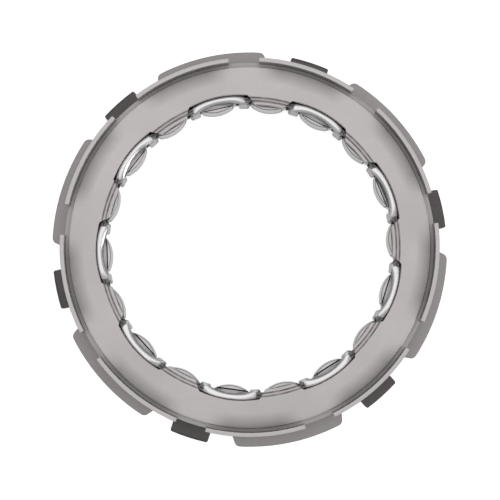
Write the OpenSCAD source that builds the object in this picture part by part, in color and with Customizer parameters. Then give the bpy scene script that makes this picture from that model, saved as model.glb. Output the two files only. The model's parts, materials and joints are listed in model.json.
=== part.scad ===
// Sprag clutch: a one-way coupling ring that grips the shaft passed through its bore.
// Eighteen cam-shaped sprags stand in two cages inside a lugged outer race.
// The axis is Z. The front face looks along +Z and the rear face lies at height zero.

/* [Sprags] */
// Radius of the circle that touches the inner cams
sprag_inner_r = 34.6; // [34.5:0.02:34.8]
// Height of a sprag from one cam face to the other
sprag_h = 8.08; // [8:0.02:8.16]
// Running gap between the outer cams and the raceway
raceway_gap = 0.12; // [0.1:0.01:0.16]
// Radius of both cam faces
cam_r = 8.1; // [7.8:0.05:8.3]
// Sideways shift of the inner cam centre, which makes the sprag wedge
cam_shift = 0.5; // [0.3:0.05:0.6]
// Room that the inner heads of two sprags leave on the circle of their noses
head_gap = 2.38; // [2.3:0.02:3]
// Width of the outer head
outer_head_w = 8; // [7.6:0.05:8.1]
// Width of the waist
waist_w = 6.2; // [5.6:0.05:6.6]
// Shift of the waist from the middle of the sprag towards the raceway
waist_shift = 0.5; // [0.3:0.05:0.7]
// Radius of the hollow on each flank
flank_r = 3.6; // [3.4:0.05:3.8]
// Room between the end of a sprag and the plate that faces it
end_room = 1.4; // [1.3:0.05:1.6]
// Length of the nose in front of the slot in each sprag end
nose_l = 1; // [0.9:0.02:1.1]
// Width of the slot in each sprag end
slot_w = 3; // [2.94:0.02:3.1]
// Depth of the slot in each sprag end
slot_depth = 1.9; // [1.8:0.05:2.3]

/* [Outer race] */
// Width of the race from the rear face to the top of the rim
race_w = 17; // [16:0.1:20]
// Wall of the race between the raceway and the nine outside lands
race_wall = 4; // [3.9:0.02:4.4]
// Thickness of the upright rim wall
rim_wall = 1; // [0.8:0.02:1.2]
// Depth of the front recess below the top of the rim
recess_depth = 4.3; // [3.9:0.05:4.6]
// Depth of the nine grooves between the lands
groove_depth = 0.7; // [0.5:0.02:0.9]
// Angle that one groove takes
groove_angle = 9.4; // [8:0.1:9.8]
// Lead-in chamfer at both ends of the raceway
raceway_chamfer = 0.6; // [0.3:0.05:0.9]
// Depth of the relief behind the lands, where the lugs start
relief_depth = 0.6; // [0.5:0.02:0.68]
// Height of the relief above the lugs
relief_h = 1; // [0.8:0.05:1.4]
// Broken edge on top of the rim
rim_break = 0.06; // [0.04:0.02:0.2]

/* [Drive lugs] */
// How far the lugs stand out past the lands
lug_reach = 3.2; // [2.2:0.1:6]
// Thickness of the drive lugs along the axis
lug_t = 4.5; // [3.6:0.1:6]
// Angle across the tip of a lug
lug_tip_angle = 32; // [28:0.5:33]
// Angle across the root of a lug
lug_root_angle = 36; // [33:1:36]
// Broken edge at the tips of the lugs
lug_break = 0.2; // [0.1:0.02:0.3]

/* [Rear plate] */
// Thickness of the rear plate
rear_t = 2; // [1.6:0.1:2.4]
// Step from the circle of the sprag noses out to the hole of the rear plate
rear_bore_step = 2.3; // [2:0.05:3.4]
// How far the six tabs stand out past the lugs
tab_reach = 0.3; // [0:0.1:1]
// Width of a tab
tab_w = 9.9; // [8:0.1:11]
// Rounded front edge of the tabs
tab_edge_r = 0.7; // [0.3:0.05:1]
// Rounded corners of the tabs, seen from the front
tab_corner_r = 0.9; // [0.5:0.05:1.2]
// Step from the lands in to the seat that centres the plate inside the lugs
pilot_step = 0.7; // [0.5:0.02:1.1]

/* [Front plate] */
// Thickness of the front plate
front_t = 1.2; // [1:0.05:1.3]
// Gap between the front plate and the rim
rim_gap = 0.94; // [0.6:0.02:1.3]
// How far the middle of a notch bows outward
notch_bow = 0.4; // [0.2:0.02:0.6]
// Angle that one notch takes
notch_angle = 22.8; // [21:0.2:24]
// Step from the circle of the sprag noses out to the ends of the lips
lip_step = 1.1; // [1:0.02:1.3]
// Length of the foot of a lip, which points at the bore
lip_foot_l = 0.9; // [0.7:0.02:1]
// Length of the slope between the plate and the foot of a lip
lip_slope_l = 0.8; // [0.6:0.02:0.9]
// Flat part of a lip between the slope and the corners of the notches
lip_flat_l = 0.36; // [0.3:0.02:0.6]
// Rounded upper edge at the end of a lip
lip_nose_r = 0.2; // [0.1:0.02:0.3]
// Depth by which the slope sinks the foot of a lip
lip_drop = 0.4; // [0.2:0.02:0.6]
// Width of a lip at its end
lip_tip_w = 7.2; // [6:0.1:8]
// Rounded top of the plate's outer edge
front_edge_r = 0.2; // [0.1:0.02:0.6]
// Gap between the plate and the face of the race
seat_gap = 0.3; // [0.2:0.02:0.4]

/* [Inner cage] */
// Width of the flat wire that both rails are bent from
rail_w = 1.4; // [1.3:0.02:1.46]
// Thickness of the flat wire along the axis
rail_t = 1.2; // [1:0.02:1.24]
// Rounded edges of the flat wire
rail_edge_r = 0.2; // [0.1:0.02:0.3]
// Step from the circle of the sprag noses out to the middle of the knees
knee_step = 2.96; // [2.9:0.02:3]
// Bend radius of a knee
knee_r = 8; // [5:0.5:12]
// Depth of the rail's centre line below the end of the sprags
rail_sink = 0.8; // [0.75:0.01:0.9]
// Step from the circle of the sprag noses out to the face of the bars
bar_step = 0.6; // [0.5:0.02:0.7]
// Width of the face of a bar
bar_face_w = 3.4; // [2.8:0.05:3.5]
// Width of a bar behind its face
bar_w = 2.3; // [2:0.05:2.4]
// Rounded corners of the face
bar_corner_r = 0.26; // [0.1:0.02:0.3]
// Depth in which the bar narrows behind its face
bar_flare_l = 0.3; // [0.2:0.02:0.34]
// Thickness of the nine flanges seen in the notches of the front plate
flange_t = 0.8; // [0.6:0.02:0.9]
// Gap between a flange and the front plate
flange_gap = 0.4; // [0.34:0.02:0.5]
// Step from the circle of the sprag noses out to the inner edge of a flange, at its middle
flange_step = 2; // [1.9:0.02:2.2]
// Radius of the arch that forms the inner edge of a flange
flange_arch_r = 16; // [14:0.5:20]
// Radial gap between a flange and the end rail of the spring
flange_rim_gap = 0.4; // [0.3:0.02:0.6]
// Angle that one flange takes
flange_angle = 19.2; // [18.6:0.1:19.4]
// How far the bars run up into the flanges
bar_tie = 0.2; // [0.1:0.02:0.4]

/* [Outer cage] */
// Wall of the outer cage
cage_wall = 0.8; // [0.6:0.05:1]
// Gap between the outer cage and the raceway
cage_gap = 0.8; // [0.6:0.05:0.9]
// Gap between an outer head and each side of its window
window_gap = 0.45; // [0.4:0.05:0.8]
// Gap between the ends of a sprag and its window
window_end_gap = 0.2; // [0.15:0.01:0.3]
// Gap between the outer cage and the rear plate
cage_end_gap = 0.3; // [0.2:0.02:0.4]

/* [Ribbon spring] */
// Thickness of the spring strip
ribbon_t = 0.4; // [0.3:0.02:0.5]
// Gap between the end rails of the spring and the outer cage
ribbon_gap = 0.4; // [0.3:0.05:0.6]
// Width of the end rails
ribbon_rail_w = 1.9; // [1.5:0.05:2]
// Width of a cross bar between two sprags
ribbon_bar_w = 2.6; // [2:0.05:3]
// Length of the tongue that leans on a sprag
tongue_l = 2.1; // [1.6:0.05:2.2]
// Height of the tongue along the axis
tongue_h = 4; // [3:0.1:5]
// Angle at which the tongue leans out of the cross bar
tongue_angle = 12; // [5:1:15]

/* [Hidden] */
$fn = 96;

// Counts and the angles at which each pattern starts
sprag_count = 18;
lip_count = 9;
lug_count = 6;
sprag_pitch = 360 / sprag_count;
lip_pitch = 360 / lip_count;
lug_pitch = 360 / lug_count;
lug_phase = 42;
tab_phase = 72;
groove_phase = 51.8;
cage_phase = 82.2;
first_sprag = 6;

// Overrun of every cut past the surface it opens, and the clearance of the pressed pilot
overrun = 1;
pilot_clearance = 0.05;

// Step between the root of a lip and the corner of the notch beside it
notch_corner = 0.1;

// How far the straight wire runs into a knee, and how much the wire swells where it is bent
knee_overlap = 0.3;
knee_swell = 0.02;

// Heights
land_z = lug_t + relief_h;
race_face_z = race_w - recess_depth;
front_z = race_face_z + seat_gap;
front_top_z = front_z + front_t;
lip_low_z = front_z - lip_drop;
sprag_front_z = front_z - end_room;
sprag_rear_z = rear_t + end_room;
sprag_len = sprag_front_z - sprag_rear_z;
rail_front_z = sprag_front_z - rail_sink;
rail_rear_z = sprag_rear_z + rail_sink;
flange_z = front_z - flange_gap - flange_t;
cage_rear_z = rear_t + cage_end_gap;

// Radii, from the sprags out to the lugs
sprag_outer_r = sprag_inner_r + sprag_h;
waist_r = sprag_inner_r + sprag_h / 2 + waist_shift;
slot_inner_r = sprag_inner_r + nose_l;
raceway_r = sprag_outer_r + raceway_gap;
land_r = raceway_r + race_wall;
relief_r = land_r - relief_depth;
rim_inner_r = land_r - rim_wall;
groove_floor_r = land_r - groove_depth;
lug_tip_r = land_r + lug_reach;

// Radii of the two plates
pilot_r = land_r - pilot_step;
rear_bore_r = sprag_inner_r + rear_bore_step;
tab_tip_r = lug_tip_r + tab_reach;
front_outer_r = rim_inner_r - rim_gap;
lip_face_r = sprag_inner_r + lip_step;
lip_foot_r = lip_face_r + lip_foot_l;
lip_flat_r = lip_foot_r + lip_slope_l;
front_inner_r = lip_flat_r + lip_flat_l;

// Radii and widths of the cages and the spring
knee_apex_r = sprag_inner_r + knee_step;
bar_inner_r = sprag_inner_r + bar_step;
cage_outer_r = raceway_r - cage_gap;
cage_inner_r = cage_outer_r - cage_wall;
ribbon_rail_r = cage_inner_r - ribbon_gap - ribbon_rail_w;
flange_outer_r = ribbon_rail_r - flange_rim_gap;
flange_inner_r = sprag_inner_r + flange_step;
head_w = 2 * PI * sprag_inner_r / sprag_count - head_gap;
window_w = outer_head_w + 2 * window_gap;

// Colours
forged = [0.56, 0.54, 0.53];
blackened = [0.3, 0.29, 0.29];
satin = [0.73, 0.71, 0.70];
polished = [0.85, 0.85, 0.86];
spring_steel = [0.45, 0.47, 0.52];

// Strip of width w and thickness t whose upper outer corner has the radius e
module rounded_strip(w, t, e) {
    square([w - e, t]);
    square([w, t - e]);
    translate([w - e, t - e])
        circle(r = e);
}

// Repeats its children at every pitch from a starting angle
module ring_of(count, pitch, phase) {
    for (i = [0 : count - 1])
        rotate([0, 0, phase + i * pitch])
            children();
}

// Section of the race on one side of the axis
module race_section() {
    polygon([
        [raceway_r, rear_t + raceway_chamfer],
        [raceway_r + raceway_chamfer, rear_t],
        [relief_r, rear_t],
        [relief_r, land_z],
        [land_r, land_z],
        [land_r, race_w - rim_break],
        [land_r - rim_break, race_w],
        [rim_inner_r + rim_break, race_w],
        [rim_inner_r, race_w - rim_break],
        [rim_inner_r, race_face_z],
        [raceway_r + raceway_chamfer, race_face_z],
        [raceway_r, race_face_z - raceway_chamfer]
    ]);
}

// Section of the cut that opens one groove and the rim above it
module groove_section() {
    polygon([
        [groove_floor_r, lug_t],
        [land_r + overrun, lug_t],
        [land_r + overrun, race_w + overrun],
        [rim_inner_r - overrun, race_w + overrun],
        [rim_inner_r - overrun, race_face_z],
        [groove_floor_r, race_face_z]
    ]);
}

// Section that bounds the lugs, rooted in the wall of the race, with the broken edges at their tips
module lug_section() {
    polygon([
        [pilot_r, 0],
        [lug_tip_r - lug_break, 0],
        [lug_tip_r, lug_break],
        [lug_tip_r, lug_t - lug_break],
        [lug_tip_r - lug_break, lug_t],
        [pilot_r - overrun, lug_t],
        [pilot_r - overrun, rear_t],
        [pilot_r, rear_t]
    ]);
}

// Wedge that gives one lug its two sloping flanks
module lug_wedge() {
    tip = lug_tip_angle / 2;
    root = lug_root_angle / 2;
    tip_y = lug_tip_r * sin(tip);
    tip_x = lug_tip_r * cos(tip);
    root_y = pilot_r * sin(root);
    root_x = pilot_r * cos(root);
    polygon([
        [0, 0],
        [root_x, -root_y],
        [tip_x, -tip_y],
        [lug_tip_r + overrun, -tip_y],
        [lug_tip_r + overrun, tip_y],
        [tip_x, tip_y],
        [root_x, root_y]
    ]);
}

module outer_race() {
    color(forged) {
        difference() {
            rotate_extrude()
                race_section();
            ring_of(lip_count, lip_pitch, groove_phase - groove_angle / 2)
                rotate_extrude(angle = groove_angle)
                    groove_section();
        }
        intersection() {
            rotate_extrude()
                lug_section();
            ring_of(lug_count, lug_pitch, lug_phase)
                linear_extrude(height = lug_t)
                    lug_wedge();
        }
    }
}

// Outline of one tab, from the hole of the plate to the rounded tip
module tab_outline() {
    reach = tab_tip_r - rear_bore_r;
    translate([rear_bore_r, -tab_w / 2]) {
        square([reach - tab_corner_r, tab_w]);
        translate([0, tab_corner_r])
            square([reach, tab_w - 2 * tab_corner_r]);
        for (y = [tab_corner_r, tab_w - tab_corner_r])
            translate([reach - tab_corner_r, y])
                circle(r = tab_corner_r);
    }
}

module rear_plate() {
    color(blackened)
        intersection() {
            rotate_extrude()
                translate([rear_bore_r, 0])
                    rounded_strip(tab_tip_r - rear_bore_r, rear_t, tab_edge_r);
            linear_extrude(height = rear_t) {
                circle(r = pilot_r - pilot_clearance);
                ring_of(lug_count, lug_pitch, tab_phase)
                    tab_outline();
            }
        }
}

// Section of one lip: a short flat, the slope and the sunk foot that points at the bore
module lip_section() {
    translate([lip_flat_r, front_z])
        square([lip_flat_l + front_t, front_t]);
    polygon([
        [lip_foot_r, lip_low_z],
        [lip_flat_r, front_z],
        [lip_flat_r, front_top_z],
        [lip_foot_r, lip_low_z + front_t]
    ]);
    translate([lip_foot_r, lip_low_z])
        mirror([1, 0])
            rounded_strip(lip_foot_l, front_t, lip_nose_r);
}

// Outline that tapers a lip from the notch corners to its narrow end
module lip_outline() {
    half = (lip_pitch - notch_angle) / 2;
    root_x = front_inner_r * cos(half);
    root_y = front_inner_r * sin(half) - notch_corner;
    polygon([
        [lip_face_r - overrun, -lip_tip_w / 2],
        [lip_face_r, -lip_tip_w / 2],
        [root_x, -root_y],
        [front_inner_r + front_t, -root_y],
        [front_inner_r + front_t, root_y],
        [root_x, root_y],
        [lip_face_r, lip_tip_w / 2],
        [lip_face_r - overrun, lip_tip_w / 2]
    ]);
}

// Hole of the plate: a round bore with a bow in each notch
module front_hole() {
    half = notch_angle / 2;
    apex = front_inner_r + notch_bow;
    shift = (pow(apex, 2) - pow(front_inner_r, 2)) / (2 * (apex - front_inner_r * cos(half)));
    circle(r = front_inner_r);
    ring_of(lip_count, lip_pitch, cage_phase + lip_pitch / 2)
        translate([shift, 0])
            circle(r = apex - shift);
}

module front_plate() {
    color(satin) {
        difference() {
            rotate_extrude()
                translate([0, front_z])
                    rounded_strip(front_outer_r, front_t, front_edge_r);
            translate([0, 0, front_z - overrun])
                linear_extrude(height = front_t + 2 * overrun)
                    front_hole();
        }
        ring_of(lip_count, lip_pitch, cage_phase)
            intersection() {
                rotate([0, 0, -lip_pitch / 4])
                    rotate_extrude(angle = lip_pitch / 2)
                        lip_section();
                translate([0, 0, lip_low_z - overrun])
                    linear_extrude(height = front_t + lip_drop + 2 * overrun)
                        lip_outline();
            }
    }
}

module outer_cage() {
    color(spring_steel)
        difference() {
            translate([0, 0, cage_rear_z])
                cylinder(r = cage_outer_r, h = front_z - cage_rear_z);
            translate([0, 0, cage_rear_z - overrun])
                cylinder(r = cage_inner_r, h = front_z - cage_rear_z + 2 * overrun);
            ring_of(sprag_count, sprag_pitch, cage_phase)
                translate([cage_inner_r - overrun, -window_w / 2, sprag_rear_z - window_end_gap])
                    cube([cage_wall + 2 * overrun, window_w, sprag_len + 2 * window_end_gap]);
        }
}

// One cross bar of the ribbon spring with the tongue that leans on the next sprag
module ribbon_bar() {
    bar_x = ribbon_rail_r + (ribbon_rail_w - ribbon_t) / 2;
    bar_z = sprag_rear_z - (end_room - ribbon_t) / 2 - ribbon_t;
    bar_h = sprag_len + end_room + ribbon_t;
    translate([bar_x, -ribbon_bar_w / 2, bar_z])
        cube([ribbon_t, ribbon_bar_w, bar_h]);
    translate([bar_x, -ribbon_bar_w / 2, sprag_rear_z + (sprag_len - tongue_h) / 2])
        rotate([0, 0, -tongue_angle])
            translate([0, -tongue_l, 0])
                cube([ribbon_t, tongue_l + ribbon_t, tongue_h]);
}

module ribbon_spring() {
    room = (end_room - ribbon_t) / 2;
    color(spring_steel) {
        for (z = [sprag_rear_z - room - ribbon_t, sprag_front_z + room])
            translate([0, 0, z])
                rotate_extrude()
                    translate([ribbon_rail_r, 0])
                        square([ribbon_rail_w, ribbon_t]);
        ring_of(sprag_count, sprag_pitch, cage_phase + sprag_pitch / 2)
            ribbon_bar();
    }
}

// Section of the flat wire with its four rounded edges, grown by a given amount all round
module rail_section(grow) {
    inset_x = rail_w / 2 - rail_edge_r;
    inset_y = rail_t / 2 - rail_edge_r;
    edge_r = rail_edge_r + grow;
    square([2 * inset_x, 2 * (inset_y + edge_r)], center = true);
    square([2 * (inset_x + edge_r), 2 * inset_y], center = true);
    for (x = [-inset_x, inset_x], y = [-inset_y, inset_y])
        translate([x, y])
            circle(r = edge_r);
}

// One side of a rail: a straight length of flat wire and the knee that follows it
module rail_side() {
    half = sprag_pitch / 2;
    knee_x = knee_apex_r - knee_r;
    side_x = knee_x * cos(half) + knee_r;
    side_l = 2 * (knee_x * sin(half) + knee_overlap);
    translate([side_x, side_l / 2, 0])
        rotate([90, 0, 0])
            linear_extrude(height = side_l)
                rail_section(0);
    rotate([0, 0, half])
        translate([knee_x, 0, 0])
            rotate([0, 0, -half])
                rotate_extrude(angle = sprag_pitch)
                    translate([knee_r, 0])
                        rail_section(knee_swell);
}

// Outline of one bar: a rounded face towards the bore and a narrower back
module bar_outline() {
    depth = knee_apex_r * cos(sprag_pitch / 2) - bar_inner_r;
    corner_y = bar_face_w / 2 - bar_corner_r;
    translate([bar_inner_r, 0]) {
        translate([0, -corner_y])
            square([bar_corner_r, 2 * corner_y]);
        for (y = [-corner_y, corner_y])
            translate([bar_corner_r, y])
                circle(r = bar_corner_r);
        polygon([
            [bar_corner_r, -bar_face_w / 2],
            [bar_corner_r + bar_flare_l, -bar_w / 2],
            [depth, -bar_w / 2],
            [depth, bar_w / 2],
            [bar_corner_r + bar_flare_l, bar_w / 2],
            [bar_corner_r, bar_face_w / 2]
        ]);
    }
}

// Outline of one flange: round outside, arched over the nose of its sprag inside
module flange_outline() {
    side_x = flange_outer_r + overrun;
    side_y = side_x * tan(flange_angle / 2);
    difference() {
        intersection() {
            circle(r = flange_outer_r);
            polygon([[0, 0], [side_x, -side_y], [side_x, side_y]]);
        }
        translate([flange_inner_r - flange_arch_r, 0])
            circle(r = flange_arch_r);
        circle(r = bar_inner_r);
    }
}

module inner_cage() {
    bar_low_z = rail_rear_z - rail_t / 2;
    color(polished) {
        ring_of(sprag_count, sprag_pitch, cage_phase + sprag_pitch / 2) {
            for (z = [rail_rear_z, rail_front_z])
                translate([0, 0, z])
                    rail_side();
            translate([0, 0, bar_low_z])
                linear_extrude(height = flange_z + bar_tie - bar_low_z)
                    bar_outline();
        }
        ring_of(lip_count, lip_pitch, cage_phase + lip_pitch / 2)
            translate([0, 0, flange_z])
                linear_extrude(height = flange_t)
                    flange_outline();
    }
}

// Outline of a sprag: two cam faces, two clipped heads and two hollow flanks
module sprag_outline() {
    difference() {
        intersection() {
            translate([sprag_inner_r + cam_r, cam_shift])
                circle(r = cam_r);
            translate([sprag_outer_r - cam_r, 0])
                circle(r = cam_r);
            union() {
                translate([sprag_inner_r - overrun, -head_w / 2])
                    square([waist_r - sprag_inner_r + overrun, head_w]);
                translate([waist_r, -outer_head_w / 2])
                    square([sprag_outer_r - waist_r + overrun, outer_head_w]);
            }
        }
        for (side = [-1, 1])
            translate([waist_r, side * (waist_w / 2 + flank_r)])
                circle(r = flank_r);
    }
}

// Sprag number i, counted clockwise from the first lip as seen from the front
module sprag(i) {
    color(satin)
        rotate([0, 0, cage_phase - (i - 1) * sprag_pitch])
            difference() {
                translate([0, 0, sprag_rear_z])
                    linear_extrude(height = sprag_len)
                        sprag_outline();
                for (z = [sprag_rear_z - overrun, sprag_front_z - slot_depth])
                    translate([slot_inner_r, -head_w, z])
                        cube([slot_w, 2 * head_w, slot_depth + overrun]);
            }
}

outer_race();
rear_plate();
front_plate();
outer_cage();
ribbon_spring();
inner_cage();
for (i = [1 : sprag_count])
    sprag(i);
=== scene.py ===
"""Looks of the sprag clutch: finished pieces, metal finishes, studio and camera.
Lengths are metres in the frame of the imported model, with sizes written in millimetres times MM.
Angles are degrees, and 0 is along +X, unless a name says otherwise.
"""
import json
import math

import bmesh
import bpy
from mathutils import Matrix, Vector

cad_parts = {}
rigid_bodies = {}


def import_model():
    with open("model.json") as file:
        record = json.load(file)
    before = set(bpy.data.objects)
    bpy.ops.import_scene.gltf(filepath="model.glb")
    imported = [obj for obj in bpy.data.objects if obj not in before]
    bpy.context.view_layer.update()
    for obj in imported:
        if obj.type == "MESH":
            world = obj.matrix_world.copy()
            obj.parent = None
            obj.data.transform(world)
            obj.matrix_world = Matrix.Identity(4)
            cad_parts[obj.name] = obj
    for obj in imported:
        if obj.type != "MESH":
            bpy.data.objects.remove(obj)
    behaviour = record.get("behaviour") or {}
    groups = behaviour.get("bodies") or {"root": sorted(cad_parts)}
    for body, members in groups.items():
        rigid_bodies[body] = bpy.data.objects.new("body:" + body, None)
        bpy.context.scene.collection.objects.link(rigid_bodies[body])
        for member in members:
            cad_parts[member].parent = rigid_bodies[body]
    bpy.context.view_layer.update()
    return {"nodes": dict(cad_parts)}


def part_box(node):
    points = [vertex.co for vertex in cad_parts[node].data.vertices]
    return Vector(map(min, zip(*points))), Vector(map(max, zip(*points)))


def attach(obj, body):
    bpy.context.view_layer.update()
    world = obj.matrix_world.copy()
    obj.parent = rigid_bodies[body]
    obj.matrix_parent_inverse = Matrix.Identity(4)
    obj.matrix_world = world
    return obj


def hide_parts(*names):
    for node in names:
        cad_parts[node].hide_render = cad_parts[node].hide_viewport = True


for leftover in list(bpy.data.objects):
    bpy.data.objects.remove(leftover)
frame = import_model()

MM = 0.001

# Clean-up of the copied solids
MERGE = 0.0002 * MM
FLAT_ANGLE = 0.5

# Rounding of edges: the turn from which one is rounded, or stays sharp in the shading
BEVEL_SEGMENTS = 3
ROUND_PROFILE = 0.5
PLATE_ROUND_ANGLE = 50
RACE_ROUND_ANGLE = 50
SPRAG_ROUND_ANGLE = 40
CAGE_SHARP_ANGLE = 50
REAR_SHARP_ANGLE = 35

# How far the largest face leads the shading of a corner, up to 100
FLAT_WEIGHT = 100

# Pattern of the cages
SPRAG_COUNT = 18
LIP_COUNT = 9
CAGE_PHASE = 82.2
SPRAG_PITCH = 360 / SPRAG_COUNT
LIP_PITCH = 360 / LIP_COUNT

# Front plate
PLATE_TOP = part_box("front_plate")[1].z
PLATE_T = 1.2 * MM
PLATE_OUTER_R = 44.86 * MM
PLATE_INNER_R = 37.76 * MM
PLATE_EDGE_R = 0.2 * MM
NOTCH_BOW = 0.4 * MM
NOTCH_ANGLE = 22.8
LIP_FACE_R = 35.42 * MM
LIP_FOOT_R = 36.36 * MM
LIP_FLAT_R = 37.16 * MM
LIP_DROP = 0.4 * MM
LIP_NOSE_R = 0.2 * MM
LIP_TIP_W = 7.2 * MM
LIP_EDGE_R = 0.14 * MM
LIP_COLUMNS = 14
NOTCH_COLUMNS = 24
PLATE_RINGS = 8
ARC_STEPS = 6

# Inner cage
RAIL_W = 1.4 * MM
RAIL_T = 1.2 * MM
RAIL_EDGE_R = 0.2 * MM
RAIL_HEIGHTS = (4.2 * MM, 10.8 * MM)
KNEE_APEX_R = 37.56 * MM
KNEE_R = 8 * MM
KNEE_STEPS = 10
STRAIGHT_STEPS = 6
BAR_INNER_R = 35.6 * MM
BAR_FACE_W = 2.7 * MM
BAR_W = 2.3 * MM
BAR_CORNER_R = 0.5 * MM
BAR_FLARE_L = 0.3 * MM
BAR_EDGE_R = 0.18 * MM
BAR_INSET = 0.06 * MM
BAR_TOP_Z = 11.9 * MM
FLANGE_LOW_Z = 11.8 * MM
FLANGE_T = 0.8 * MM
FLANGE_INNER_R = 36.45 * MM
FLANGE_ARCH_R = 14.5 * MM
FLANGE_OUTER_R = 38.75 * MM
FLANGE_ANGLE = 20.8
FLANGE_FALLS = (0.55, 0.38)
FLANGE_CROWN_SHARE = 0.4
FLANGE_COLUMNS = 36
FLANGE_ROWS = 12
FLANGE_END_DROP = 0.5 * MM
FLANGE_END_NARROW = 0.7 * MM
FLANGE_LEVEL_ANGLE = 4.5

# Race and rear plate
RACE_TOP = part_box("outer_race")[1].z
RACE_FACE_Z = 12.7 * MM
LAND_R = 46.8 * MM
RIM_INNER_R = 45.8 * MM
RIM_PHASE = 71.8
RIM_HALF_ANGLE = 15.3
RACEWAY_R = 42.8 * MM
LAND_LOW_Z = 5.4 * MM
LUG_TIP_R = 50 * MM
LUG_TIP_BAND = 0.3 * MM
LUG_CORNER_R = 0.9 * MM
LUG_CORNER_ANGLE = 40
LUG_CORNER_SEGMENTS = 5
UPRIGHT_SHARE = 0.5
RACE_EDGE_R = 0.07 * MM

# Sprags
SPRAG_EDGE_R = 0.22 * MM

# Floor, a little below the rear face
FLOOR_DROP = 0.05 * MM
FLOOR_HALF_W = 4.0
FLOOR_TONE = (0.88, 0.88, 0.88)
FLOOR_ROUGHNESS = 0.9
FLOOR_GLOW_SEEN = 0.78
FLOOR_GLOW_MIRRORED = 0.3

# Lights in metres and watts, and the sky that dims towards the horizon
OVERHEAD_PLACE = (-0.05, 0.16, 0.95)
OVERHEAD_SIZE = 0.9
OVERHEAD_POWER = 1.5
KEY_PLACE = (0.72, -0.26, 0.55)
KEY_SIZE = 0.5
KEY_POWER = 1.5
SKY_HEIGHTS = (0.1, 0.75)
SKY_LEVELS = (0.12, 0.47)
WHITE = (1.0, 1.0, 1.0)

# Camera, as the photograph has it
VIEW_TARGET = Vector((0.08 * MM, -0.36 * MM, 4.5 * MM))
VIEW_DISTANCE = 450 * MM
VIEW_TILT = 2.66
FRAME_WIDTH = 126.53 * MM
SENSOR = 36.0
CLIP_START = 0.01

# Scratches: turn in radians, and the scale of the noise along and across them
SCRATCH_RUNS = ((0.6, 90.0, 5200.0), (2.1, 120.0, 6400.0))

# Spans of the masks: the values at which a mask is 0 and 1
NOISE_SPAN = (0.3, 0.7)
WORN_HIGHLIGHT_COSINES = (0.995, 0.90)
WORN_HIGHLIGHT_PATCHES = (0.35, 0.65)
SCRATCH_SPAN = (0.70, 0.78)
RIM_FADE_ANGLES = (RIM_HALF_ANGLE + 1.0, RIM_HALF_ANGLE - 8.0)
CREASE_SPAN = (1.0, 0.2)
RIM_TOP_SPAN = (RACE_TOP - 0.25 * MM, RACE_TOP - 0.15 * MM)
LAND_HEIGHTS = (LAND_LOW_Z, LAND_LOW_Z + 0.1 * MM)
LAND_SPAN = (LAND_R - 0.1 * MM, LAND_R - 0.05 * MM)
RACEWAY_SPAN = (RACEWAY_R + 0.75 * MM, RACEWAY_R + 0.65 * MM)
RACE_FACE_SPAN = (0.1 * MM, 0.05 * MM)
ABOVE_FACE_SPAN = (RACE_FACE_Z + 0.1 * MM, RACE_FACE_Z + 0.2 * MM)
RIM_SIDE_SPAN = (RIM_INNER_R + 0.1 * MM, RIM_INNER_R + 0.05 * MM)
BELOW_FLANGE_SPAN = (FLANGE_LOW_Z + 0.3 * MM, FLANGE_LOW_Z + 0.1 * MM)
REAR_FLECK_SPAN = (0.35, 0.7)
SPRAG_END_SPAN = (0.75, 0.95)
SPRAG_EDGE_STARTS = (0.1, 0.35)
SPRAG_EDGE_STOPS = (0.98, 0.85)

# Lowest and full strength of the painted shade in the lip creases, and how softly the painted shade
# of the recess starts
CREASE_SHADE_PATCHES = (0.6, 1.0)
RECESS_FADE = 0.3 * MM
RECESS_FADE_Z = 0.2 * MM
RECESS_FADE_ANGLE = 0.6

# Tones of the metals, linear: one colour, or the darkest and the lightest of a grain
PLATE_BASE = ((0.545, 0.510, 0.507), (0.585, 0.550, 0.547))
PLATE_FLECKS = (0.575, 0.542, 0.540)
PLATE_WORN_HIGHLIGHT = (0.74, 0.72, 0.72)
PLATE_RIM_SHADE = (0.11, 0.10, 0.10)
PLATE_CREASE_SHADE = (0.10, 0.09, 0.09)
PLATE_SCORED = (0.60, 0.58, 0.58)
RACE_BLASTED = ((0.400, 0.378, 0.373), (0.460, 0.436, 0.431))
RACE_TURNED = ((0.38, 0.361, 0.359), (0.44, 0.419, 0.417))
RACE_RIM_SHADE = (0.27, 0.255, 0.255)
RACE_BRIGHT = ((0.565, 0.540, 0.540), (0.620, 0.595, 0.595))
RACE_RIM_SIDE_LIGHT = (0.80, 0.77, 0.77)
RACE_WORN_HIGHLIGHT = (0.62, 0.60, 0.60)
REAR_BASE = ((0.125, 0.115, 0.115), (0.165, 0.152, 0.152))
REAR_FLECKS = (0.18, 0.167, 0.167)
REAR_WORN_HIGHLIGHT = (0.30, 0.29, 0.29)
REAR_SCORED = (0.22, 0.21, 0.21)
POLISHED_BASE = ((0.74, 0.725, 0.73), (0.84, 0.83, 0.83))
POLISHED_SCORED = (0.58, 0.57, 0.57)
POLISHED_LOW_SHADE = (0.46, 0.45, 0.45)
POLISHED_RECESS_SHADE = (0.09, 0.085, 0.085)
SPRAG_CAMS = ((0.62, 0.605, 0.605), (0.70, 0.685, 0.685))
SPRAG_FLATS = ((0.54, 0.525, 0.525), (0.62, 0.605, 0.605))
SPRAG_EDGE_SHADE = (0.16, 0.155, 0.155)
SPRAG_SCORED = (0.66, 0.65, 0.65)
SLEEVE_BASE = ((0.27, 0.27, 0.275), (0.33, 0.33, 0.335))
SLEEVE_ROUGHNESS = 0.4
SPRING_BASE = ((0.19, 0.21, 0.25), (0.25, 0.26, 0.29))
SPRING_ROUGHNESS = 0.35
STRIP_WORN_HIGHLIGHT = (0.62, 0.61, 0.60)

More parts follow.
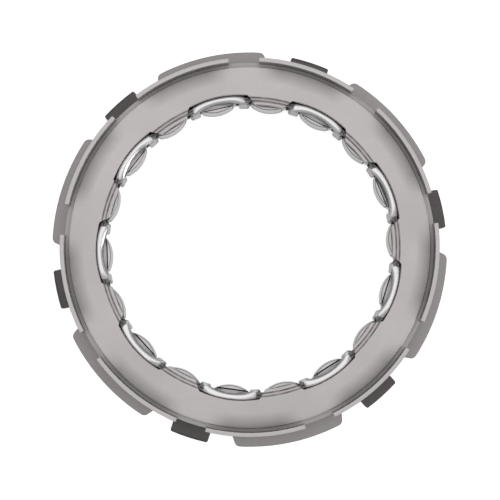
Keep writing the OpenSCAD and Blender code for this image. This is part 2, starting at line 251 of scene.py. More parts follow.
# How strongly a mask shows
CREASE_SHADE_STRENGTH = 0.92
PLATE_SCORE_STRENGTH = 0.7
RACE_WEAR_HIGHLIGHT_STRENGTH = 0.6
REAR_WEAR_HIGHLIGHT_STRENGTH = 0.7
RECESS_SHADE_STRENGTH = 0.85
SPRAG_EDGE_SHADE_STRENGTH = 0.8
RING_RELIEF_SHARE = 0.25


def polar(radius, degrees, height):
    """A point at a radius and an angle about the axis of the clutch."""
    turn = math.radians(degrees)
    return Vector((radius * math.cos(turn), radius * math.sin(turn), height))


def new_object(name, mesh):
    """An object for a mesh, linked to the scene."""
    piece = bpy.data.objects.new(name, mesh)
    bpy.context.scene.collection.objects.link(piece)
    return piece


def object_from(mesh, name):
    """An object that takes over a mesh under construction."""
    data = bpy.data.meshes.new(name)
    mesh.to_mesh(data)
    mesh.free()
    return new_object(name, data)


def apply_modifiers(piece):
    """Turns the result of a piece's modifiers into its mesh."""
    bpy.context.view_layer.update()
    graph = bpy.context.evaluated_depsgraph_get()
    mesh = bpy.data.meshes.new_from_object(piece.evaluated_get(graph))
    piece.modifiers.clear()
    piece.data = mesh


def round_edges(piece, radius, angle):
    """Rounds the edges of a piece that turn by more than an angle, and keeps its flats flat."""
    for face in piece.data.polygons:
        face.use_smooth = True
    bevel = piece.modifiers.new("rounding", "BEVEL")
    bevel.width = radius
    bevel.segments = BEVEL_SEGMENTS
    bevel.limit_method = "ANGLE"
    bevel.angle_limit = math.radians(angle)
    bevel.harden_normals = True
    bevel.use_clamp_overlap = False
    bevel.miter_outer = "MITER_ARC"
    apply_modifiers(piece)


def weigh_normals(piece):
    """Lets the large faces lead the shading, so that flats beside rounded edges stay flat."""
    weighing = piece.modifiers.new("weighing", "WEIGHTED_NORMAL")
    weighing.mode = "FACE_AREA"
    weighing.weight = FLAT_WEIGHT
    apply_modifiers(piece)


def keep_sharp(piece, angle):
    """Shades a piece smooth but for the edges that turn by more than an angle."""
    for face in piece.data.polygons:
        face.use_smooth = True
    piece.data.set_sharp_from_angle(angle=math.radians(angle))
    return piece


def solid_copy(node, name):
    """A copy of a node's solid with merged corners and whole flats."""
    mesh = bmesh.new()
    mesh.from_mesh(frame["nodes"][node].data)
    bmesh.ops.remove_doubles(mesh, verts=mesh.verts, dist=MERGE)
    bmesh.ops.dissolve_limit(mesh, angle_limit=math.radians(FLAT_ANGLE),
                             verts=mesh.verts, edges=mesh.edges)
    return object_from(mesh, name)


def stand_for(piece, body, slot, finish, *nodes):
    """Gives a piece its finish, lets it ride on a body and stand for its nodes."""
    piece.data.materials.clear()
    piece.data.materials.append(finish)
    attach(piece, body)
    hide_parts(*nodes)


def opaque(colour):
    """A colour with full cover, or the output that carries one."""
    return (*colour, 1.0) if isinstance(colour, tuple) else colour


class Graph:
    """A node tree with short calls that add nodes and join them."""

    def __init__(self, tree):
        self.tree = tree

    def put(self, socket, value):
        """Joins an output to a socket, or sets it to a constant. None leaves it as it is."""
        if isinstance(value, bpy.types.NodeSocket):
            self.tree.links.new(value, socket)
        elif value is not None:
            socket.default_value = value

    def node(self, kind, inputs=None, **settings):
        """A node of a kind, with its settings and its inputs by name."""
        made = self.tree.nodes.new(kind)
        for key, value in settings.items():
            setattr(made, key, value)
        for key, value in (inputs or {}).items():
            self.put(made.inputs[key], value)
        return made

    def math(self, operation, first, second=None, clamp=False):
        """The result of a sum on two values."""
        made = self.node("ShaderNodeMath", operation=operation, use_clamp=clamp)
        self.put(made.inputs[0], first)
        self.put(made.inputs[1], second)
        return made.outputs[0]

    def ramp(self, value, low, high, to_low=0.0, to_high=1.0):
        """A value mapped smoothly from one span to another."""
        spans = {"Value": value, "From Min": low, "From Max": high,
                 "To Min": to_low, "To Max": to_high}
        made = self.node("ShaderNodeMapRange", spans, interpolation_type="SMOOTHSTEP")
        return made.outputs["Result"]

    def scale(self, mask, strength):
        """A mask that shows at a share of its strength."""
        return self.math("MULTIPLY", mask, strength)

    def blend(self, mask, first, second):
        """A colour mixed by a mask."""
        made = self.node("ShaderNodeMix", data_type="RGBA")
        self.put(made.inputs["Factor"], mask)
        self.put(made.inputs["A"], opaque(first))
        self.put(made.inputs["B"], opaque(second))
        return made.outputs["Result"]

    def noise(self, vector, scale, detail=3.0, roughness=0.55):
        """Noise on a vector."""
        settings = {"Vector": vector, "Scale": scale, "Detail": detail, "Roughness": roughness}
        return self.node("ShaderNodeTexNoise", settings).outputs["Fac"]

    def place(self):
        """The place on the piece."""
        return self.node("ShaderNodeTexCoord").outputs["Object"]

    def parts(self):
        """The X, Y and Z of the place on the piece."""
        return self.node("ShaderNodeSeparateXYZ", {"Vector": self.place()}).outputs

    def radius(self):
        """The distance of the place from the axis of the clutch."""
        parts = self.parts()
        across = self.node("ShaderNodeCombineXYZ", {"X": parts["X"], "Y": parts["Y"]})
        length = self.node("ShaderNodeVectorMath", {0: across.outputs[0]}, operation="LENGTH")
        return length.outputs["Value"]

    def angle_from(self, phase):
        """The angle of the place from the nearest lip or rim wall, of which one is at the phase."""
        parts = self.parts()
        turn = self.math("ARCTAN2", parts["Y"], parts["X"])
        angle = self.math("ADD", self.math("MULTIPLY", turn, 180 / math.pi), 360.0 - phase)
        return self.math("PINGPONG", angle, LIP_PITCH / 2)


def new_group(name, inputs, outputs):
    """A shader node group with named float inputs and outputs."""
    tree = bpy.data.node_groups.new(name, "ShaderNodeTree")
    for key, value in inputs.items():
        socket = tree.interface.new_socket(key, in_out="INPUT", socket_type="NodeSocketFloat")
        socket.default_value = value
    for key in outputs:
        tree.interface.new_socket(key, in_out="OUTPUT", socket_type="NodeSocketFloat")
    given = tree.nodes.new("NodeGroupInput").outputs
    return Graph(tree), given, tree.nodes.new("NodeGroupOutput").inputs


def edge_wear_highlight_group():
    """Where handling has worn the edges, and where a highlight is painted along them: a broken-up
    mask along the edges.
    """
    graph, given, out = new_group("edge_wear_highlight", {"Radius": 0.25 * MM, "Break-up": 0.5,
                                                "Patches": 900.0}, ["Mask"])
    rounded = graph.node("ShaderNodeBevel", {"Radius": given["Radius"]}, samples=6)
    true = graph.node("ShaderNodeNewGeometry").outputs["Normal"]
    along = graph.node("ShaderNodeVectorMath", {0: rounded.outputs[0], 1: true},
                       operation="DOT_PRODUCT")
    edge = graph.ramp(along.outputs["Value"], *WORN_HIGHLIGHT_COSINES)
    patches = graph.ramp(graph.noise(graph.place(), given["Patches"]), *WORN_HIGHLIGHT_PATCHES)
    kept = graph.math("SUBTRACT", 1.0, graph.math("MULTIPLY", given["Break-up"], patches))
    graph.put(out["Mask"], graph.math("MULTIPLY", edge, kept, clamp=True))
    return graph.tree


def turning_group():
    """Fine rings left by turning or grinding about the axis."""
    graph, given, out = new_group("turning_marks", {"Rings": 9000.0, "Waver": 40.0, "Drift": 2.0},
                                  ["Height", "Tone"])
    ring = graph.math("MULTIPLY", graph.radius(), given["Rings"])
    level = graph.math("MULTIPLY", graph.parts()["Z"], given["Rings"])
    drift = graph.math("MULTIPLY", graph.noise(graph.place(), given["Waver"], 1.0), given["Drift"])
    vector = graph.node("ShaderNodeCombineXYZ", {"X": ring, "Y": level, "Z": drift}).outputs[0]
    graph.put(out["Height"], graph.noise(vector, 1.0, 2.0))
    graph.put(out["Tone"], graph.noise(vector, 0.12, 1.0))
    return graph.tree


def tumbled_group():
    """The fine even grain and soft clouds of a tumbled or blasted surface."""
    graph, given, out = new_group("tumbled_grain", {"Grain": 4200.0, "Clouds": 70.0},
                                  ["Height", "Tone", "Cloud"])
    place = graph.place()
    graph.put(out["Height"], graph.noise(place, given["Grain"], 4.0, 0.65))
    graph.put(out["Tone"], graph.noise(place, graph.math("MULTIPLY", given["Grain"], 0.25), 3.0))
    graph.put(out["Cloud"], graph.noise(place, given["Clouds"], 3.0, 0.5))
    return graph.tree


def scratch_group():
    """Thin stray scratches that run in two directions."""
    graph, given, out = new_group("stray_scratches", {"Density": 0.5}, ["Mask"])
    place = graph.place()
    masks = []
    for turn, long_way, cross_way in SCRATCH_RUNS:
        turned = graph.node("ShaderNodeMapping", {"Vector": place, "Rotation": (0.0, 0.0, turn),
                                                  "Scale": (long_way, cross_way, long_way)})
        streaks = graph.noise(turned.outputs[0], 1.0, 1.0, 0.4)
        masks.append(graph.ramp(streaks, *SCRATCH_SPAN))
    both = graph.math("MAXIMUM", masks[0], masks[1])
    graph.put(out["Mask"], graph.math("MULTIPLY", both, given["Density"], clamp=True))
    return graph.tree


def rim_shade_reach_group():
    """How close a place lies to one of the nine rim walls, for the shade painted beside them: 1
    next to a wall, 0 in the gaps.
    """
    graph, given, out = new_group("rim_shade_reach", {"Start": 41.1 * MM, "End": 46.9 * MM}, ["Mask"])
    facing = graph.ramp(graph.angle_from(RIM_PHASE), *RIM_FADE_ANGLES)
    span = graph.math("SUBTRACT", given["End"], given["Start"])
    past_start = graph.math("SUBTRACT", graph.radius(), given["Start"])
    share = graph.math("DIVIDE", past_start, span, clamp=True)
    graph.put(out["Mask"], graph.math("MULTIPLY", facing, share))
    return graph.tree


def lip_crease_shade_group():
    """The two creases of each lip, darkened with painted shade in the bends."""
    graph, given, out = new_group("lip_crease_shade", {"Width": 0.34 * MM, "Patches": 500.0}, ["Mask"])
    radius = graph.radius()
    masks = []
    for crease in (LIP_FLAT_R, LIP_FOOT_R):
        away = graph.math("ABSOLUTE", graph.math("SUBTRACT", radius, crease))
        masks.append(graph.ramp(graph.math("DIVIDE", away, given["Width"]), *CREASE_SPAN))
    patches = graph.ramp(graph.noise(graph.place(), given["Patches"]), *NOISE_SPAN, *CREASE_SHADE_PATCHES)
    both = graph.math("MAXIMUM", masks[0], masks[1])
    graph.put(out["Mask"], graph.math("MULTIPLY", both, patches))
    return graph.tree


def recess_group():
    """What lies below the flanges, behind the bore or beside a lip, where light doesn't reach: the
    mask of a painted shade.
    """
    graph, given, out = new_group("recess", {"Radius": 35.8 * MM, "Height": 12.2 * MM,
                                             "Lip Angle": 9.2}, ["Mask"])
    past_bore = graph.math("SUBTRACT", graph.radius(), given["Radius"])
    depth = graph.math("SUBTRACT", given["Height"], graph.parts()["Z"])
    past_lip = graph.math("SUBTRACT", given["Lip Angle"], graph.angle_from(CAGE_PHASE))
    behind = graph.ramp(past_bore, 0.0, RECESS_FADE)
    below = graph.ramp(depth, 0.0, RECESS_FADE_Z)
    beside = graph.ramp(past_lip, 0.0, RECESS_FADE_ANGLE)
    graph.put(out["Mask"], graph.math("MULTIPLY", graph.math("MAXIMUM", behind, beside), below))
    return graph.tree


EDGE_WEAR_HIGHLIGHT = edge_wear_highlight_group()
TURNING = turning_group()
TUMBLED = tumbled_group()
SCRATCHES = scratch_group()
RIM_SHADE_REACH = rim_shade_reach_group()
LIP_CREASE_SHADE = lip_crease_shade_group()
RECESS_SHADE = recess_group()


class Finish(Graph):
    """A metal finish: one Principled shader with the graph that feeds it."""

    def __init__(self, name, roughness):
        self.material = bpy.data.materials.new(name)
        self.material.use_nodes = True
        super().__init__(self.material.node_tree)
        self.tree.nodes.clear()
        looks = {"Metallic": 1.0, "Roughness": roughness}
        self.shader = self.node("ShaderNodeBsdfPrincipled", looks)
        self.node("ShaderNodeOutputMaterial", {"Surface": self.shader.outputs[0]})

    def use(self, group, **inputs):
        """A placed group, with its own values."""
        made = self.node("ShaderNodeGroup", node_tree=group)
        for key, value in inputs.items():
            made.inputs[key].default_value = value
        return made.outputs

    def surface(self, colour, roughness, height, depth):
        """Colour, roughness and fine relief of the finish."""
        bump = self.node("ShaderNodeBump", {"Height": height, "Distance": depth, "Strength": 1.0})
        self.put(self.shader.inputs["Base Color"], colour)
        self.put(self.shader.inputs["Roughness"], roughness)
        self.put(self.shader.inputs["Normal"], bump.outputs[0])
        return self.material


def plate_finish():
    """Satin front plate: tumbled sheet, with shade painted darker on it beside the rim walls."""
    finish = Finish("plate_steel", 0.4)
    grain = finish.use(TUMBLED, Grain=3800.0, Clouds=60.0)
    wear_and_highlight = finish.use(EDGE_WEAR_HIGHLIGHT, Radius=0.22 * MM)
    lines = finish.use(SCRATCHES, Density=0.35)
    crease_shade = finish.use(LIP_CREASE_SHADE)
    base = finish.blend(grain["Cloud"], *PLATE_BASE)
    fine = finish.blend(finish.ramp(grain["Tone"], *NOISE_SPAN), base, PLATE_FLECKS)
    # Edge wear with a painted highlight along the edges.
    worn_and_highlit = finish.blend(wear_and_highlight["Mask"], fine, PLATE_WORN_HIGHLIGHT)
    # Painted shade: the plate darkens towards the rim walls, where their shade and dark reflection
    # fall.
    rim_shaded = finish.blend(finish.use(RIM_SHADE_REACH)["Mask"], worn_and_highlit, PLATE_RIM_SHADE)
    # Painted shade in the bends of the lips.
    crease_shaded = finish.blend(finish.scale(crease_shade["Mask"], CREASE_SHADE_STRENGTH), rim_shaded, PLATE_CREASE_SHADE)
    colour = finish.blend(finish.scale(lines["Mask"], PLATE_SCORE_STRENGTH), crease_shaded, PLATE_SCORED)
    roughness = finish.ramp(grain["Cloud"], *NOISE_SPAN, 0.36, 0.44)
    return finish.surface(colour, roughness, grain["Height"], 0.004 * MM)


def race_finish():
    """Blasted forging with lands, rim and front face machined bright, with painted shade on the
    face beside the rim walls and painted light on their inner sides.
    """
    finish = Finish("race_steel", 0.5)
    height, radius = finish.parts()["Z"], finish.radius()
    grain = finish.use(TUMBLED, Grain=3000.0, Clouds=90.0)
    rings = finish.use(TURNING, Rings=7000.0)
    wear_and_highlight = finish.use(EDGE_WEAR_HIGHLIGHT, Radius=0.2 * MM)
    rim_shade = finish.use(RIM_SHADE_REACH, Start=42 * MM, End=43 * MM)

    top = finish.ramp(height, *RIM_TOP_SPAN)
    land = finish.math("MULTIPLY", finish.ramp(radius, *LAND_SPAN),
                       finish.ramp(height, *LAND_HEIGHTS))
    raceway = finish.ramp(radius, *RACEWAY_SPAN)
    off_face = finish.math("ABSOLUTE", finish.math("SUBTRACT", height, RACE_FACE_Z))
    face = finish.ramp(off_face, *RACE_FACE_SPAN)
    ground = finish.math("MAXIMUM", finish.math("MAXIMUM", top, land),
                         finish.math("MAXIMUM", raceway, face))
    rim_side = finish.math("MULTIPLY", finish.ramp(radius, *RIM_SIDE_SPAN),
                           finish.ramp(height, *ABOVE_FACE_SPAN))

    blasted = finish.blend(grain["Cloud"], *RACE_BLASTED)
    turned = finish.blend(rings["Tone"], *RACE_TURNED)
    # Painted shade: the front face darkens beside the rim walls, where their shadow falls.
    rim_shaded_face = finish.blend(rim_shade["Mask"], turned, RACE_RIM_SHADE)
    bright = finish.blend(rings["Tone"], *RACE_BRIGHT)
    machined = finish.blend(face, bright, rim_shaded_face)
    both = finish.blend(ground, blasted, machined)
    # Painted light: the inner sides of the rim walls are lightened against the shade they stand in.
    rim_side_lit = finish.blend(rim_side, both, RACE_RIM_SIDE_LIGHT)
    # Edge wear with a painted highlight along the edges.
    colour = finish.blend(finish.scale(wear_and_highlight["Mask"], RACE_WEAR_HIGHLIGHT_STRENGTH), rim_side_lit, RACE_WORN_HIGHLIGHT)

    roughness = finish.ramp(finish.math("SUBTRACT", ground, rim_side), 0.0, 1.0, 0.52, 0.42)
    grains = finish.math("MULTIPLY", grain["Height"], finish.math("SUBTRACT", 1.0, ground))
    ridges = finish.math("MULTIPLY", rings["Height"], finish.scale(ground, RING_RELIEF_SHARE))
    return finish.surface(colour, roughness, finish.math("ADD", grains, ridges), 0.008 * MM)


def rear_finish():
    """Phosphated rear plate, dark, with edges worn light and a highlight painted along them."""
    finish = Finish("black_steel", 0.55)
    grain = finish.use(TUMBLED, Grain=2600.0, Clouds=120.0)
    wear_and_highlight = finish.use(EDGE_WEAR_HIGHLIGHT, Radius=0.3 * MM)
    lines = finish.use(SCRATCHES, Density=0.4)
    base = finish.blend(grain["Cloud"], *REAR_BASE)
    fine = finish.blend(finish.ramp(grain["Tone"], *REAR_FLECK_SPAN), base, REAR_FLECKS)
    # Edge wear with a painted highlight along the edges.
    worn_and_highlit = finish.blend(finish.scale(wear_and_highlight["Mask"], REAR_WEAR_HIGHLIGHT_STRENGTH), fine, REAR_WORN_HIGHLIGHT)
    colour = finish.blend(lines["Mask"], worn_and_highlit, REAR_SCORED)
    roughness = finish.ramp(grain["Tone"], *NOISE_SPAN, 0.50, 0.62)
    return finish.surface(colour, roughness, grain["Height"], 0.008 * MM)


def polished_finish():
    """Bright polished flanges, bars and wire of the inner cage, with painted shade lower down and
    in the recesses.
    """
    finish = Finish("polished_steel", 0.16)
    grain = finish.use(TUMBLED, Grain=2400.0, Clouds=260.0)
    lines = finish.use(SCRATCHES, Density=0.5)
    recess = finish.use(RECESS_SHADE)
    base = finish.blend(grain["Cloud"], *POLISHED_BASE)
    scored = finish.blend(lines["Mask"], base, POLISHED_SCORED)
    # Painted shade below the flanges, darker lower down.
    low = finish.ramp(finish.parts()["Z"], *BELOW_FLANGE_SPAN)
    low_shaded = finish.blend(low, scored, POLISHED_LOW_SHADE)
    # Painted shade in the recesses behind the bore and beside the lips.
    colour = finish.blend(finish.scale(recess["Mask"], RECESS_SHADE_STRENGTH), low_shaded, POLISHED_RECESS_SHADE)
    roughness = finish.ramp(grain["Cloud"], *NOISE_SPAN, 0.13, 0.24)
    return finish.surface(colour, roughness, grain["Tone"], 0.006 * MM)


def sprag_finish():
    """Hardened sprags: ground cams, tumbled ends, and painted shade along the rounded edges between
    them.
    """
    finish = Finish("sprag_steel", 0.3)
    grain = finish.use(TUMBLED, Grain=3600.0, Clouds=200.0)
    lines = finish.use(SCRATCHES, Density=0.45)
    normal = finish.node("ShaderNodeNewGeometry").outputs["Normal"]
    facing = finish.node("ShaderNodeSeparateXYZ", {"Vector": normal}).outputs["Z"]
    upward = finish.math("ABSOLUTE", facing)
    ends = finish.ramp(upward, *SPRAG_END_SPAN)
    # Painted shade along the rounded edges, where the face turns between end and cam.
    edges = finish.math("MULTIPLY", finish.ramp(upward, *SPRAG_EDGE_STARTS),
                        finish.ramp(upward, *SPRAG_EDGE_STOPS))
    cams = finish.blend(grain["Cloud"], *SPRAG_CAMS)
    flats = finish.blend(grain["Cloud"], *SPRAG_FLATS)
    both = finish.blend(ends, cams, flats)
    edge_shaded = finish.blend(finish.scale(edges, SPRAG_EDGE_SHADE_STRENGTH), both, SPRAG_EDGE_SHADE)
    colour = finish.blend(lines["Mask"], edge_shaded, SPRAG_SCORED)
    roughness = finish.ramp(ends, 0.0, 1.0, 0.24, 0.36)
    return finish.surface(colour, roughness, grain["Height"], 0.004 * MM)


def strip_finish(name, tones, roughness):
    """Cold rolled strip, for the sleeve and the spring that sit inside."""
    finish = Finish(name, roughness)
    grain = finish.use(TUMBLED, Grain=3200.0, Clouds=110.0)
    rings = finish.use(TURNING, Rings=5200.0)
    wear_and_highlight = finish.use(EDGE_WEAR_HIGHLIGHT, Radius=0.15 * MM)
    base = finish.blend(grain["Cloud"], *tones)
    # Edge wear with a painted highlight along the edges.
    colour = finish.blend(wear_and_highlight["Mask"], base, STRIP_WORN_HIGHLIGHT)
    rough = finish.ramp(rings["Tone"], *NOISE_SPAN, roughness - 0.05, roughness + 0.07)
    return finish.surface(colour, rough, rings["Height"], 0.003 * MM)


def round_lug_corners(piece):
    """Rounds the upright corners at the tips of the lugs."""
    mesh = bmesh.new()
    mesh.from_mesh(piece.data)
    near_tip = LUG_TIP_R - LUG_TIP_BAND
    corners = []
    for edge in mesh.edges:
        first, second = (vert.co for vert in edge.verts)
        at_tip = min(first.to_2d().length, second.to_2d().length) > near_tip
        upright = abs(first.z - second.z) > UPRIGHT_SHARE * (first - second).length
        if at_tip and upright and edge.calc_face_angle(0.0) > math.radians(LUG_CORNER_ANGLE):
            corners.append(edge)
    bmesh.ops.bevel(mesh, geom=corners, offset=LUG_CORNER_R, segments=LUG_CORNER_SEGMENTS,
                    profile=ROUND_PROFILE, affect="EDGES")
    mesh.to_mesh(piece.data)
    mesh.free()


def race_piece(finish):
    """The outer race with rounded lugs and its cut edges broken."""
    piece = solid_copy("outer_race", "lugged_race")
    round_lug_corners(piece)
    round_edges(piece, RACE_EDGE_R, RACE_ROUND_ANGLE)
    weigh_normals(piece)
    stand_for(piece, "race", "race_steel", finish, "outer_race")


def rear_piece(finish):
    """The rear plate with its six rounded tabs."""
    piece = keep_sharp(solid_copy("rear_plate", "tabbed_plate"), REAR_SHARP_ANGLE)
    stand_for(piece, "race", "black_steel", finish, "rear_plate")


def sprag_pieces(finish):
    """Eighteen sprags with broken edges, each a copy of its own solid."""
    for number in range(1, SPRAG_COUNT + 1):
        node = f"sprag_{number:02d}"
        piece = solid_copy(node, f"ground_{node}")
        round_edges(piece, SPRAG_EDGE_R, SPRAG_ROUND_ANGLE)
        stand_for(piece, node, "sprag_steel", finish, node)


def arc(centre, radius, start, end):
    """Points of an arc in the plane of a section, with both ends."""
    points = []
    for step in range(ARC_STEPS + 1):
        turn = math.radians(start + (end - start) * step / ARC_STEPS)
        points.append((centre[0] + radius * math.cos(turn), centre[1] + radius * math.sin(turn)))
    return points


def lip_profile():
    """Section of a lip from the plate's top over its foot to the underside: radius and height."""
    foot_top = PLATE_TOP - LIP_DROP
    under = PLATE_TOP - PLATE_T
    nose = (LIP_FACE_R + LIP_NOSE_R, foot_top - LIP_NOSE_R)
    line = [(LIP_FLAT_R, PLATE_TOP), (LIP_FOOT_R, foot_top)]
    line += arc(nose, LIP_NOSE_R, 90, 180)
    line += [(LIP_FACE_R, under - LIP_DROP), (LIP_FOOT_R, under - LIP_DROP), (LIP_FLAT_R, under)]
    return line


def notch_edge(offset):
    """Radius of the plate's inner edge at an angle from the middle of a notch."""
    half = math.radians(NOTCH_ANGLE / 2)
    apex = PLATE_INNER_R + NOTCH_BOW
    shift = (apex ** 2 - PLATE_INNER_R ** 2) / (2 * (apex - PLATE_INNER_R * math.cos(half)))
    bow = apex - shift
    turn = math.radians(offset)
    return shift * math.cos(turn) + math.sqrt(bow ** 2 - (shift * math.sin(turn)) ** 2)


def plate_columns():
    """Every column of the plate, once round: middle of its part, angle from it, and if a lip."""
    lip_angle = LIP_PITCH - NOTCH_ANGLE
    columns = []
    for lip in range(LIP_COUNT):
        middle = CAGE_PHASE + lip * LIP_PITCH
        for step in range(LIP_COLUMNS + 1):
            columns.append((middle, (step / LIP_COLUMNS - 0.5) * lip_angle, True))
        middle += LIP_PITCH / 2
        for step in range(1, NOTCH_COLUMNS):
            columns.append((middle, (step / NOTCH_COLUMNS - 0.5) * NOTCH_ANGLE, False))
    return columns


def lip_half_angle(radius):
    """Half of the angle that a lip takes at a radius, tapering towards its end."""
    root = (LIP_PITCH - NOTCH_ANGLE) / 2
    tip = math.degrees(math.asin(LIP_TIP_W / 2 / LIP_FACE_R))
    share = (radius - LIP_FACE_R) / (PLATE_INNER_R - LIP_FACE_R)
    return tip + (root - tip) * min(share, 1.0)


def plate_section(middle, offset, is_lip):
    """Points of the plate's ring in one column: its top outward, then its underside back."""
    inner = PLATE_INNER_R if is_lip else notch_edge(offset)
    flat = PLATE_OUTER_R - PLATE_EDGE_R
    radii = [inner + (flat - inner) * ring / PLATE_RINGS for ring in range(PLATE_RINGS)]
    rim = arc((flat, PLATE_TOP - PLATE_EDGE_R), PLATE_EDGE_R, 90, 0)
    under = PLATE_TOP - PLATE_T
    line = [(radius, PLATE_TOP) for radius in radii] + rim
    line += [(PLATE_OUTER_R, under), (inner, under)]
    return [polar(radius, middle + offset, height) for radius, height in line]


def plate_solid():
    """The front plate as one closed mesh: a ring whose lips are swept from their section."""
    mesh = bmesh.new()
    lip_share = (LIP_PITCH - NOTCH_ANGLE) / 2
    rings = []
    lips = []
    for middle, offset, is_lip in plate_columns():
        ring = [mesh.verts.new(point) for point in plate_section(middle, offset, is_lip)]
        lip = []
        if is_lip:
            share = offset / lip_share
            lip = [mesh.verts.new(polar(radius, middle + lip_half_angle(radius) * share, height))
                   for radius, height in lip_profile()]
            lip = [ring[0]] + lip + [ring[-1]]
        rings.append(ring)
        lips.append(lip)
    for index, ring in enumerate(rings):
        other = rings[(index + 1) % len(rings)]
        lip, other_lip = lips[index], lips[(index + 1) % len(rings)]
        for step in range(len(ring) - 1):
            mesh.faces.new((ring[step], ring[step + 1], other[step + 1], other[step]))
        if lip and other_lip:
            for step in range(len(lip) - 1):
                mesh.faces.new((lip[step + 1], lip[step],
                                other_lip[step], other_lip[step + 1]))
        else:
            mesh.faces.new((ring[-1], ring[0], other[0], other[-1]))
            side = lip or other_lip
            if side:
                mesh.faces.new(side)
    bmesh.ops.recalc_face_normals(mesh, faces=mesh.faces)
    return object_from(mesh, "lipped_plate")


def front_piece(finish):
    """The front plate with nine lips bent rearward, their cut edges broken."""
    piece = plate_solid()
    round_edges(piece, LIP_EDGE_R, PLATE_ROUND_ANGLE)
    stand_for(piece, "cage", "plate_steel", finish, "front_plate")


def rail_path():
    """Centre line of a rail once round: knees in front of the sprags, straights between them."""
    knee_centre = KNEE_APEX_R - KNEE_R
    half = SPRAG_PITCH / 2
    path = []
    for knee in range(SPRAG_COUNT):
        angle = CAGE_PHASE + knee * SPRAG_PITCH
        centre = polar(knee_centre, angle, 0.0)
        for step in range(KNEE_STEPS + 1):
            turn = angle - half + SPRAG_PITCH * step / KNEE_STEPS
            path.append(centre + polar(KNEE_R, turn, 0.0))
        start = path[-1]
        end = polar(knee_centre, angle + SPRAG_PITCH, 0.0) + polar(KNEE_R, angle + half, 0.0)
        path += [start.lerp(end, step / STRAIGHT_STEPS) for step in range(1, STRAIGHT_STEPS)]
    return path


def rail_section():
    """Section of the flat wire with its four rounded edges: reach and rise from its middle."""
    x = RAIL_W / 2 - RAIL_EDGE_R
    y = RAIL_T / 2 - RAIL_EDGE_R
    corners = ((x, y, 0), (-x, y, 90), (-x, -y, 180), (x, -y, 270))
    return [point for x, y, start in corners
            for point in arc((x, y), RAIL_EDGE_R, start, start + 90)]


def add_rail(mesh, height):
    """Flat wire swept along the centre line of a rail."""
    path = rail_path()
    hoops = []
    for index, point in enumerate(path):
        ahead = path[(index + 1) % len(path)] - path[index - 1]
        outward = ahead.cross(Vector((0.0, 0.0, 1.0))).normalized()
        hoops.append([mesh.verts.new(point + outward * reach + Vector((0.0, 0.0, height + rise)))
                      for reach, rise in rail_section()])
    for index, hoop in enumerate(hoops):
        other = hoops[(index + 1) % len(hoops)]
        for side in range(len(hoop)):
            following = (side + 1) % len(hoop)
            mesh.faces.new((hoop[side], other[side], other[following], hoop[following]))


def bar_outline():
    """Outline of a bar seen along the axis: a rounded face and a narrower back."""
    depth = KNEE_APEX_R * math.cos(math.radians(SPRAG_PITCH / 2)) - BAR_INNER_R
    corner = (BAR_CORNER_R, BAR_FACE_W / 2 - BAR_CORNER_R)
    upper = [(depth, BAR_W / 2), (BAR_CORNER_R + BAR_FLARE_L, BAR_W / 2)]
    upper += arc(corner, BAR_CORNER_R, 90, 180)
    return upper + [(x, -y) for x, y in reversed(upper)]


def add_prism(mesh, outline, low, high, edge):
    """A solid over an outline, with the edges at both ends broken."""
    ends = [[mesh.verts.new((point[0], point[1], height)) for point in outline]
            for height in (low, high)]
    for side in range(len(outline)):
        following = (side + 1) % len(outline)
        mesh.faces.new((ends[0][side], ends[0][following], ends[1][following], ends[1][side]))
    caps = [mesh.faces.new(end) for end in ends]
    edges = {rim for cap in caps for rim in cap.edges}
    bmesh.ops.bevel(mesh, geom=list(edges), offset=edge, segments=BEVEL_SEGMENTS,
                    profile=ROUND_PROFILE, affect="EDGES")


def add_bar(mesh, angle, low):
    """One bar between two sprags, up to the flange."""
    turn = Matrix.Rotation(math.radians(angle), 2)
    outline = [turn @ Vector((BAR_INNER_R + x, y)) for x, y in bar_outline()]
    add_prism(mesh, outline, low + BAR_INSET, BAR_TOP_Z, BAR_EDGE_R)


def flange_section(inner, offset):
    """Section of a flange at an angle from its middle: crowned, and thinner towards its ends."""
    beyond = (abs(offset) - FLANGE_LEVEL_ANGLE) / (FLANGE_ANGLE / 2 - FLANGE_LEVEL_ANGLE)
    end = max(beyond, 0.0) ** 2
    thickness = FLANGE_T - FLANGE_END_DROP * end
    outer = FLANGE_OUTER_R - FLANGE_END_NARROW * end
    line = [(inner, FLANGE_LOW_Z)]
    for row in range(FLANGE_ROWS + 1):
        share = row / FLANGE_ROWS
        is_outer = share > FLANGE_CROWN_SHARE
        side = 1 - FLANGE_CROWN_SHARE if is_outer else FLANGE_CROWN_SHARE
        crown = 1 - FLANGE_FALLS[is_outer] * ((share - FLANGE_CROWN_SHARE) / side) ** 2
        line.append((inner + (outer - inner) * share, FLANGE_LOW_Z + thickness * crown))
    return line + [(outer, FLANGE_LOW_Z)]


def add_flange(mesh, angle):
    """One flange in a notch of the front plate, arched over the nose of its sprag."""
    centre = FLANGE_INNER_R - FLANGE_ARCH_R
    sections = []
    for column in range(FLANGE_COLUMNS + 1):
        offset = (column / FLANGE_COLUMNS - 0.5) * FLANGE_ANGLE
        turn = math.radians(offset)
        reach = math.sqrt(FLANGE_ARCH_R ** 2 - (centre * math.sin(turn)) ** 2)
        arch = centre * math.cos(turn) + reach
        sections.append([mesh.verts.new(polar(radius, angle + offset, height))
                         for radius, height in flange_section(arch, offset)])
    for section, other in zip(sections, sections[1:]):
        for point in range(len(section)):
            following = (point + 1) % len(section)
            mesh.faces.new((section[point], other[point],
                            other[following], section[following]))
    mesh.faces.new(sections[0])
    mesh.faces.new(sections[-1])


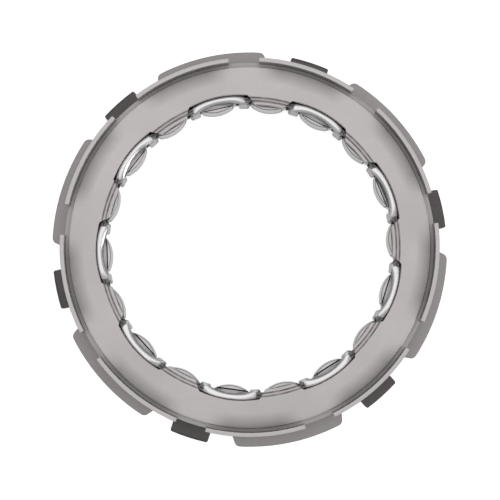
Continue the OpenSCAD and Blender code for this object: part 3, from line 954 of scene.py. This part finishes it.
def inner_cage_piece(finish):
    """The inner cage: two bent rails, eighteen bars and nine flanges in the plate's notches."""
    mesh = bmesh.new()
    for height in RAIL_HEIGHTS:
        add_rail(mesh, height)
    for bar in range(SPRAG_COUNT):
        add_bar(mesh, CAGE_PHASE + (bar + 0.5) * SPRAG_PITCH, RAIL_HEIGHTS[0] - RAIL_T / 2)
    for flange in range(LIP_COUNT):
        add_flange(mesh, CAGE_PHASE + (flange + 0.5) * LIP_PITCH)
    bmesh.ops.recalc_face_normals(mesh, faces=mesh.faces)
    piece = keep_sharp(object_from(mesh, "bright_inner_cage"), CAGE_SHARP_ANGLE)
    stand_for(piece, "inner_cage", "polished_steel", finish, "inner_cage")


def dress_hidden(node, finish):
    """Gives a node that keeps its own shape a finish."""
    data = frame["nodes"][node].data
    data.materials.clear()
    data.materials.append(finish)


def floor():
    """Pale floor that keeps the shadow of the clutch."""
    mesh = bmesh.new()
    bmesh.ops.create_grid(mesh, x_segments=1, y_segments=1, size=FLOOR_HALF_W,
                          matrix=Matrix.Translation((0.0, 0.0, -FLOOR_DROP)))
    piece = object_from(mesh, "floor")
    material = bpy.data.materials.new("pale_floor")
    material.use_nodes = True
    graph = Graph(material.node_tree)
    graph.tree.nodes.clear()
    paths = graph.node("ShaderNodeLightPath").outputs
    mirrored = graph.scale(paths["Is Glossy Ray"], FLOOR_GLOW_MIRRORED)
    seen = graph.scale(paths["Is Camera Ray"], FLOOR_GLOW_SEEN)
    looks = {"Base Color": opaque(FLOOR_TONE), "Roughness": FLOOR_ROUGHNESS,
             "Emission Color": opaque(WHITE),
             "Emission Strength": graph.math("MAXIMUM", seen, mirrored)}
    shader = graph.node("ShaderNodeBsdfPrincipled", looks)
    graph.node("ShaderNodeOutputMaterial", {"Surface": shader.outputs[0]})
    piece.data.materials.append(material)


def softbox(name, place, size, power):
    """A square studio light that faces the clutch."""
    data = bpy.data.lights.new(name, "AREA")
    data.shape = "SQUARE"
    data.size = size
    data.energy = power
    lamp = bpy.data.objects.new(name, data)
    bpy.context.scene.collection.objects.link(lamp)
    lamp.location = place
    lamp.rotation_euler = (-Vector(place)).to_track_quat("-Z", "Y").to_euler()


def studio():
    """Soft light from the front, a broad key from the right and a sky dimmer at the horizon."""
    softbox("overhead", OVERHEAD_PLACE, OVERHEAD_SIZE, OVERHEAD_POWER)
    softbox("key", KEY_PLACE, KEY_SIZE, KEY_POWER)
    world = bpy.data.worlds.new("studio")
    bpy.context.scene.world = world
    world.use_nodes = True
    graph = Graph(world.node_tree)
    graph.tree.nodes.clear()
    paths = graph.node("ShaderNodeLightPath").outputs
    direction = graph.node("ShaderNodeTexCoord").outputs["Generated"]
    upward = graph.node("ShaderNodeSeparateXYZ", {"Vector": direction}).outputs["Z"]
    sky = graph.ramp(upward, *SKY_HEIGHTS, *SKY_LEVELS)
    strength = graph.math("MAXIMUM", paths["Is Camera Ray"], sky)
    back = graph.node("ShaderNodeBackground", {"Color": opaque(WHITE), "Strength": strength})
    graph.node("ShaderNodeOutputWorld", {"Surface": back.outputs[0]})


def camera():
    """Camera at the photograph's angle."""
    data = bpy.data.cameras.new("view")
    data.sensor_width = SENSOR
    data.lens = SENSOR * VIEW_DISTANCE / FRAME_WIDTH
    data.clip_start = CLIP_START
    eye = bpy.data.objects.new("view", data)
    bpy.context.scene.collection.objects.link(eye)
    tilt = math.radians(VIEW_TILT)
    back = Vector((0.0, -math.sin(tilt), math.cos(tilt)))
    eye.location = VIEW_TARGET + back * VIEW_DISTANCE
    eye.rotation_euler = (-back).to_track_quat("-Z", "Y").to_euler()
    bpy.context.scene.camera = eye


def build():
    """Makes every piece, its finish and the studio."""
    race_piece(race_finish())
    rear_piece(rear_finish())
    front_piece(plate_finish())
    inner_cage_piece(polished_finish())
    sprag_pieces(sprag_finish())
    dress_hidden("outer_cage", strip_finish("cage_steel", SLEEVE_BASE, SLEEVE_ROUGHNESS))
    dress_hidden("ribbon_spring", strip_finish("spring_steel", SPRING_BASE, SPRING_ROUGHNESS))
    floor()
    studio()
    camera()
    bpy.context.scene.view_settings.view_transform = "Standard"


build()
